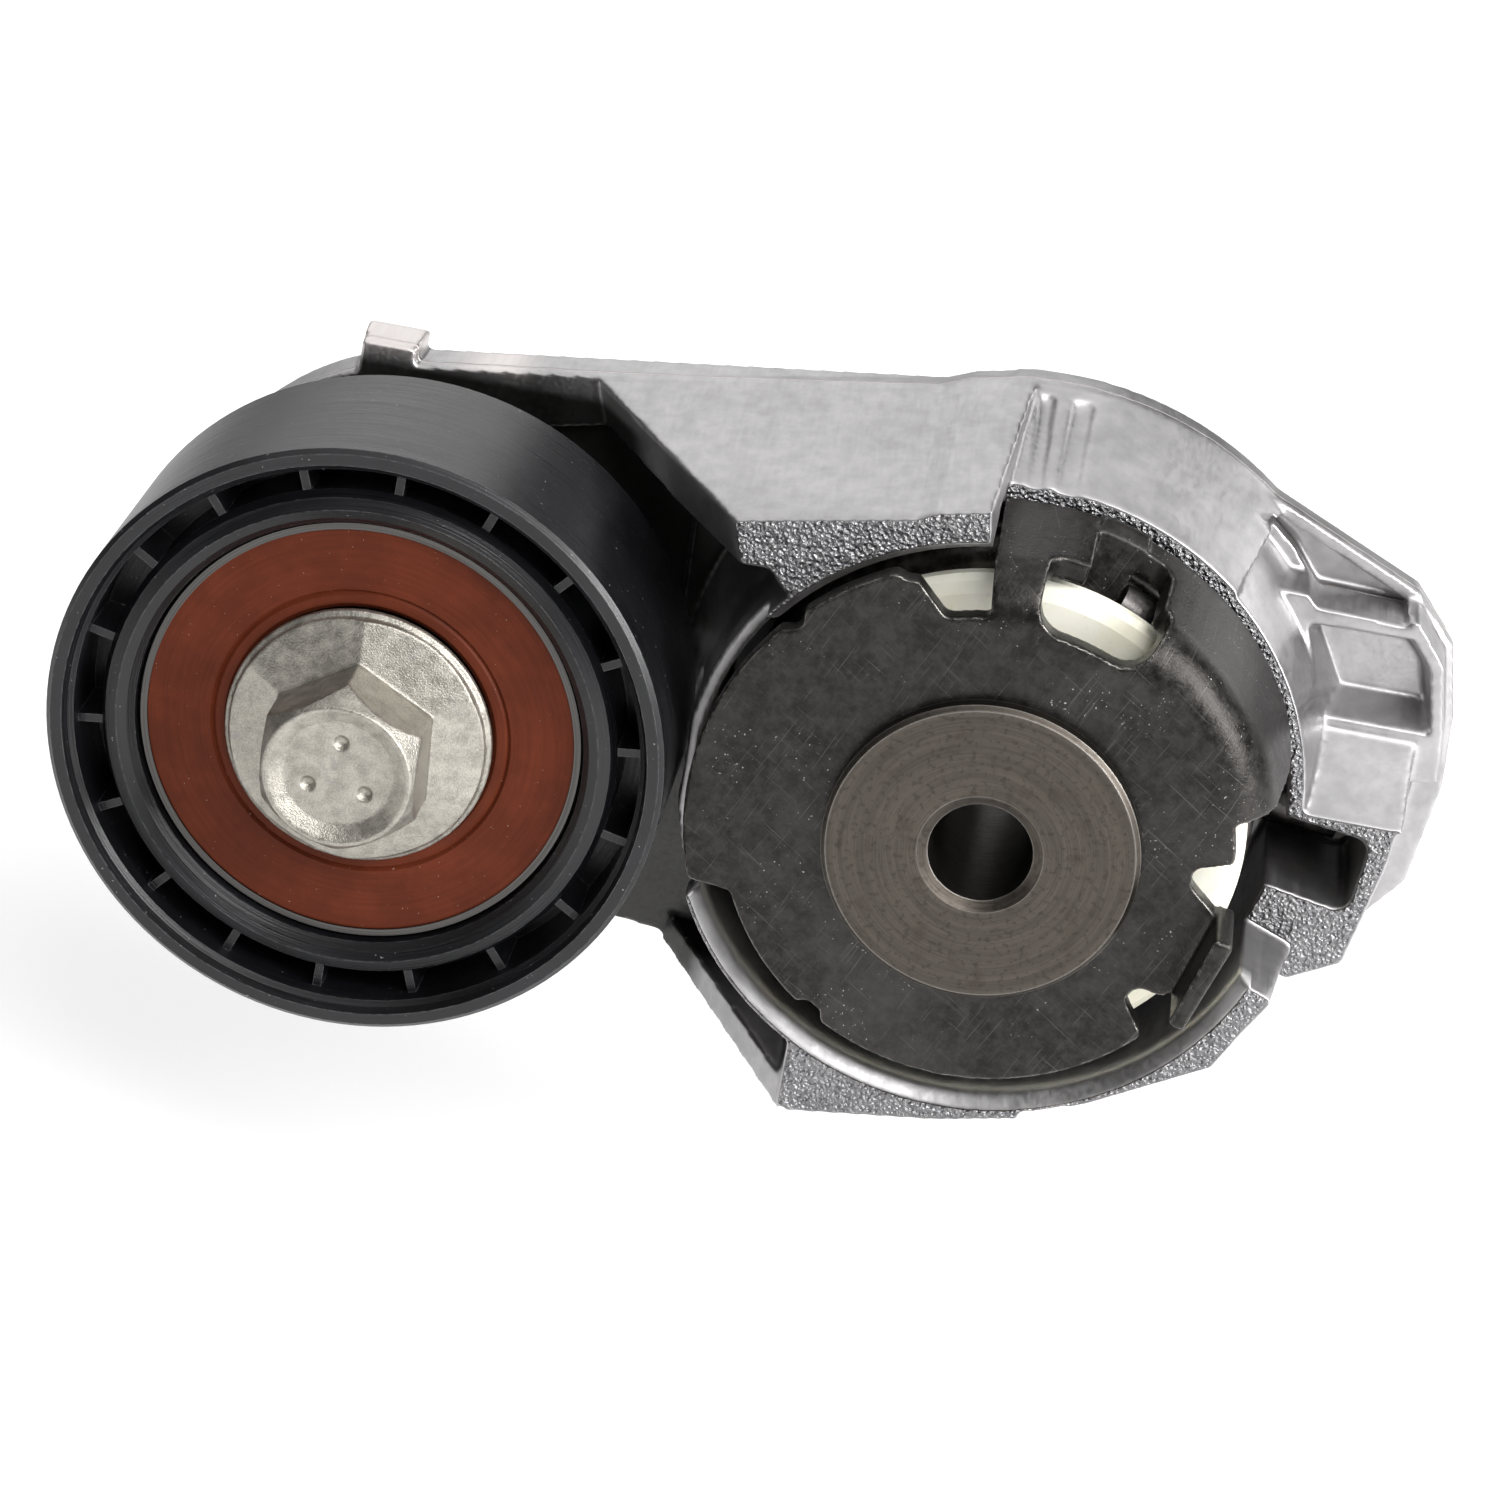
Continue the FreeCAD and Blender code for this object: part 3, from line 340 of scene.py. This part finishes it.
def turned_steel():
    look = Look("turned_steel", metallic=1.0)
    radius, angle, depth = look.ring_place(PIVOT)
    rings = look.noise(1.0, detail=3, where=look.join(radius, look.times(angle, 0.0012), depth),
                       stretch=(7, 1, 7))
    wide_rings = look.noise(1.0, detail=2, where=look.join(radius, look.times(angle, 0.0006), 0.0),
                            stretch=(1.3, 1, 1))
    mottle = look.noise(3.0, detail=6)
    wide_shade = look.remap(wide_rings, 0.3, 0.7, 0.88, 1.12)
    shade = look.times(look.remap(rings, 0.3, 0.7, 0.85, 1.15), wide_shade)
    base = look.scale_color((0.080, 0.070, 0.060), shade)
    base = look.mix(look.remap(mottle, 0.5, 0.75, 0.0, 0.5), base, (0.046, 0.037, 0.030))
    grit = look.times(look.remap(look.noise(0.7, detail=5), 0.52, 0.64), 0.45)
    base = look.mix(grit, base, (0.035, 0.030, 0.026))
    # painted shade: the hub's bore is coloured near black inside
    base = look.mix(look.remap(radius, *BORE_EDGE, 0.8, 0.0), base, (0.012, 0.010, 0.009))
    worn = look.edges(0.3)
    look.set("Base Color", look.mix(look.times(worn, 0.6), base, (0.5, 0.48, 0.45)))
    look.set("Roughness", look.remap(rings, 0.3, 0.7, 0.34, 0.48))
    look.bump(look.plus(rings, look.times(wide_rings, 0.6)), 0.03)
    return look.material


def spring_steel():
    look = Look("spring_steel", metallic=0.95)
    scale = look.noise(1.8, detail=6, roughness=0.65)
    base = look.mix(look.remap(scale, 0.4, 0.65), (0.085, 0.078, 0.076), (0.17, 0.16, 0.155))
    look.set("Base Color", base)
    look.set("Roughness", look.remap(scale, 0.3, 0.7, 0.26, 0.42))
    look.bump(look.noise(0.5, detail=4), 0.03)
    return look.material


def nylon():
    look = Look("nylon", roughness=0.4, Subsurface_Weight=0.12, Subsurface_Scale=0.0015)
    look.set("Subsurface Radius", (1.0, 0.8, 0.45))
    tint = look.noise(6.0, detail=4)
    base = look.mix(look.remap(tint, 0.35, 0.65), (0.95, 0.91, 0.74), (0.97, 0.95, 0.83))
    grime = look.remap(look.noise(1.1, detail=5), 0.62, 0.74, 0.0, 0.25)
    look.set("Base Color", look.mix(grime, base, (0.45, 0.38, 0.26)))
    look.set("Roughness", look.remap(tint, 0.3, 0.7, 0.33, 0.48))
    look.bump(look.noise(0.8, detail=3), 0.02)
    return look.material


def black_nylon():
    look = Look("black_nylon", Specular_IOR_Level=0.44)
    radius, angle, depth = look.ring_place(WHEEL)
    turned = look.join(radius, look.times(angle, 0.0015), depth)
    lines = look.noise(1.0, detail=3, where=turned, stretch=(5, 1, 5))
    bloom = look.noise(8.0, detail=5)
    shade = look.plus(look.remap(lines, 0.3, 0.7, 0.75, 1.25), look.remap(bloom, 0.4, 0.7, -0.1, 0.5))
    base = look.scale_color((0.0042, 0.0042, 0.0052), shade)
    worn = look.times(look.edges(0.22), look.remap(look.noise(0.8, detail=4), 0.35, 0.6))
    base = look.mix(look.times(worn, 0.4), base, (0.20, 0.20, 0.21))
    specks = look.remap(look.noise(0.4, detail=1), 0.76, 0.79)
    look.set("Base Color", look.mix(look.times(specks, 0.5), base, (0.35, 0.35, 0.36)))
    look.set("Roughness", look.remap(lines, 0.3, 0.7, 0.27, 0.38))
    look.bump(look.plus(lines, look.times(look.noise(0.3, detail=2), 0.35)), 0.035)
    return look.material


def seal_rubber():
    look = Look("seal_rubber", Specular_IOR_Level=0.08)
    radius, angle, depth = look.ring_place(WHEEL)
    lines = look.noise(1.0, detail=2, where=look.join(radius, look.times(angle, 0.002), depth),
                       stretch=(3, 1, 3))
    tint = look.noise(5.0, detail=5)
    shade = look.times(look.remap(lines, 0.3, 0.7, 0.92, 1.08), look.remap(tint, 0.35, 0.65, 0.88, 1.12))
    base = look.scale_color((0.092, 0.0195, 0.0083), shade)
    dust = look.times(look.remap(look.noise(0.3, detail=1), 0.75, 0.78), 0.45)
    look.set("Base Color", look.mix(dust, base, (0.55, 0.45, 0.38)))
    look.set("Roughness", look.remap(tint, 0.3, 0.7, 0.36, 0.46))
    look.bump(look.plus(look.times(lines, 0.5), look.noise(0.25, detail=2)), 0.012)
    return look.material


def bearing_steel():
    look = Look("bearing_steel", metallic=1.0)
    radius, angle, depth = look.ring_place(WHEEL)
    rings = look.noise(1.0, detail=3, where=look.join(radius, look.times(angle, 0.001), depth),
                       stretch=(9, 1, 9))
    look.set("Base Color", look.scale_color((0.085, 0.082, 0.078), look.remap(rings, 0.3, 0.7, 0.7, 1.3)))
    look.set("Roughness", look.remap(rings, 0.3, 0.7, 0.24, 0.36))
    look.bump(rings, 0.01)
    return look.material


def zinc_flake():
    """The bolt's dull grey coating, rubbed dark along its corners, with darker patches here and there."""
    look = Look("zinc_flake", metallic=0.85)
    mottle = look.noise(1.6, detail=6, roughness=0.65)
    flakes = look.noise(0.18, detail=2)
    shade = look.plus(look.remap(mottle, 0.3, 0.7, 0.74, 1.14), look.remap(flakes, 0.3, 0.7, -0.12, 0.12))
    base = look.scale_color((0.385, 0.365, 0.322), shade)
    patches = look.times(look.remap(look.noise(2.4, detail=6, distortion=0.6), 0.60, 0.70), 0.35)
    base = look.mix(patches, base, (0.24, 0.24, 0.25))
    scuffs = look.times(look.edges(0.45, 0.03), look.remap(look.noise(0.8, detail=5), 0.46, 0.58))
    look.set("Base Color", look.mix(look.times(scuffs, 0.85), base, (0.07, 0.068, 0.066)))
    look.set("Roughness", look.remap(mottle, 0.3, 0.7, 0.34, 0.48))
    look.bump(look.plus(look.times(mottle, 0.6), look.times(flakes, 0.5)), 0.12)
    return look.material


def bronze():
    look = Look("bronze", metallic=1.0)
    pores = look.cells(0.35)
    look.set("Base Color", look.scale_color((0.42, 0.27, 0.12), look.remap(pores, 0.1, 0.6, 0.6, 1.1)))
    look.set("Roughness", look.remap(pores, 0.1, 0.6, 0.55, 0.35))
    look.bump(pores, 0.03)
    return look.material


LOOKS = {
    "cast_aluminium": cast_aluminium(),
    "phosphated_steel": phosphated_steel(),
    "turned_steel": turned_steel(),
    "spring_steel": spring_steel(),
    "nylon": nylon(),
    "black_nylon": black_nylon(),
    "seal_rubber": seal_rubber(),
    "bearing_steel": bearing_steel(),
    "zinc_flake": zinc_flake(),
    "bronze": bronze(),
}


def dress_cad_nodes():
    """Every CAD node gets the material of its slot in the record."""
    for part in frame["record"]["subparts"]:
        node = NODES[part["node"]]
        for slot in node.material_slots:
            slot.link = "OBJECT"
            slot.material = LOOKS[part["material_slot"]]


# ---- pieces made here ----------------------------------------------------------------------------

SMOOTHING_ROUNDS = 5


def new_piece(name, mesh, slot, body, replaced):
    """A piece made here that stands for a CAD node; it rides the body, if one is given."""
    piece = bpy.data.objects.new(name, mesh)
    bpy.context.scene.collection.objects.link(piece)
    mesh.materials.clear()
    mesh.materials.append(LOOKS[slot])
    for polygon in mesh.polygons:
        polygon.use_smooth = True
    if body:
        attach(piece, body)
    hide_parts(replaced)
    return piece


def softened_copy(node, voxel, keep):
    """A copy of a CAD node with the soft edges of a casting: remeshed, smoothed, then thinned out."""
    source = NODES[node]
    copy = bpy.data.objects.new(node + "_soft", source.data.copy())
    bpy.context.scene.collection.objects.link(copy)
    copy.matrix_world = source.matrix_world
    remesh = copy.modifiers.new("remesh", "REMESH")
    remesh.mode = "VOXEL"
    remesh.voxel_size = voxel
    smooth = copy.modifiers.new("smooth", "SMOOTH")
    smooth.factor = 0.5
    smooth.iterations = SMOOTHING_ROUNDS
    thin = copy.modifiers.new("thin", "DECIMATE")
    thin.ratio = keep
    graph = bpy.context.evaluated_depsgraph_get()
    mesh = bpy.data.meshes.new_from_object(copy.evaluated_get(graph))
    bpy.data.objects.remove(copy)
    return mesh


def softened_piece(name, node, body, slot, voxel, keep):
    size = voxel * MM * 1.0
    mesh = softened_copy(node, size, keep)
    mesh.name = name
    new_piece(name, mesh, slot, body, node)


def wound_spring():
    """The torsion spring, copied from its CAD node with smooth shading; it rides no body."""
    source = NODES["torsion_spring"]
    mesh = source.data.copy()
    mesh.transform(source.matrix_world)
    spring = new_piece("wound_spring", mesh, "spring_steel", None, "torsion_spring")
    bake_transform(spring)


dress_cad_nodes()
softened_piece("cast_housing", "arm_housing", "arm", "cast_aluminium", 0.34, 0.35)
softened_piece("stamped_plate", "base_plate", "base", "phosphated_steel", 0.26, 0.5)
softened_piece("forged_bolt", "pulley_bolt", "arm", "zinc_flake", 0.15, 0.5)
wound_spring()


# ---- studio --------------------------------------------------------------------------------------

FLOOR_DROP = 36 * MM           # room for the pulley when the arm is at full load
FLOOR_GLOW = 0.22              # keeps the pale floor nearly white round the part
FLOOR_HALF = 6.0
PART_MIDDLE = (-0.03, 0.01, 0.0)
CAMERA_PLACE = Vector((0.689, -400.81, 187.64)) * MM
CAMERA_RIGHT = Vector((0.9812, 0.1278, 0.1447))
CAMERA_UP = Vector((-0.1841, 0.3944, 0.9003))
LENS = 104.06
SENSOR = 36.0


def camera():
    data = bpy.data.cameras.new("camera")
    data.lens = LENS
    data.sensor_width = SENSOR
    data.clip_start = 0.01
    data.clip_end = 20
    seen = bpy.data.objects.new("camera", data)
    bpy.context.scene.collection.objects.link(seen)
    right = CAMERA_RIGHT.normalized()
    back = right.cross(CAMERA_UP).normalized()
    up = back.cross(right)
    seen.matrix_world = Matrix.Translation(CAMERA_PLACE) @ Matrix((right, up, back)).transposed().to_4x4()
    bpy.context.scene.camera = seen


def floor():
    drop = CAD_BOX[0][2] - FLOOR_DROP
    mesh = bpy.data.meshes.new("floor")
    corners = [(x * FLOOR_HALF, y * FLOOR_HALF, drop) for x, y in ((-1, -1), (1, -1), (1, 1), (-1, 1))]
    mesh.from_pydata(corners, [], [(0, 1, 2, 3)])
    plane = bpy.data.objects.new("floor", mesh)
    bpy.context.scene.collection.objects.link(plane)
    look = Look("floor", roughness=0.9, color=(0.85, 0.85, 0.85))
    look.set("Emission Color", (1, 1, 1, 1))
    look.set("Emission Strength", FLOOR_GLOW)
    mesh.materials.append(look.material)


def softbox(name, place, size, power):
    """A flat rectangular light that faces the part."""
    data = bpy.data.lights.new(name, "AREA")
    data.shape = "RECTANGLE"
    data.size, data.size_y = size
    data.energy = power
    lamp = bpy.data.objects.new(name, data)
    bpy.context.scene.collection.objects.link(lamp)
    lamp.location = place
    lamp.rotation_mode = "QUATERNION"
    lamp.rotation_quaternion = (Vector(PART_MIDDLE) - Vector(place)).to_track_quat("-Z", "Y")


def lights():
    softbox("top", (-0.02, 0.03, 0.85), (1.5, 1.3), 7.6)
    softbox("back", (-0.35, 1.1, 0.55), (1.0, 0.7), 3.1)
    softbox("front", (0.40, -0.80, 0.75), (0.7, 0.45), 9)
    softbox("right", (0.7, -0.30, 0.34), (0.3, 0.5), 8)
    softbox("rim", (0.75, 0.75, 0.40), (0.5, 0.5), 2.5)
    world = bpy.data.worlds.new("world")
    world.use_nodes = True
    world.node_tree.nodes["Background"].inputs["Color"].default_value = (1, 1, 1, 1)
    world.node_tree.nodes["Background"].inputs["Strength"].default_value = 0.1
    bpy.context.scene.world = world
    bpy.context.scene.view_settings.view_transform = "Standard"


camera()
floor()
lights()
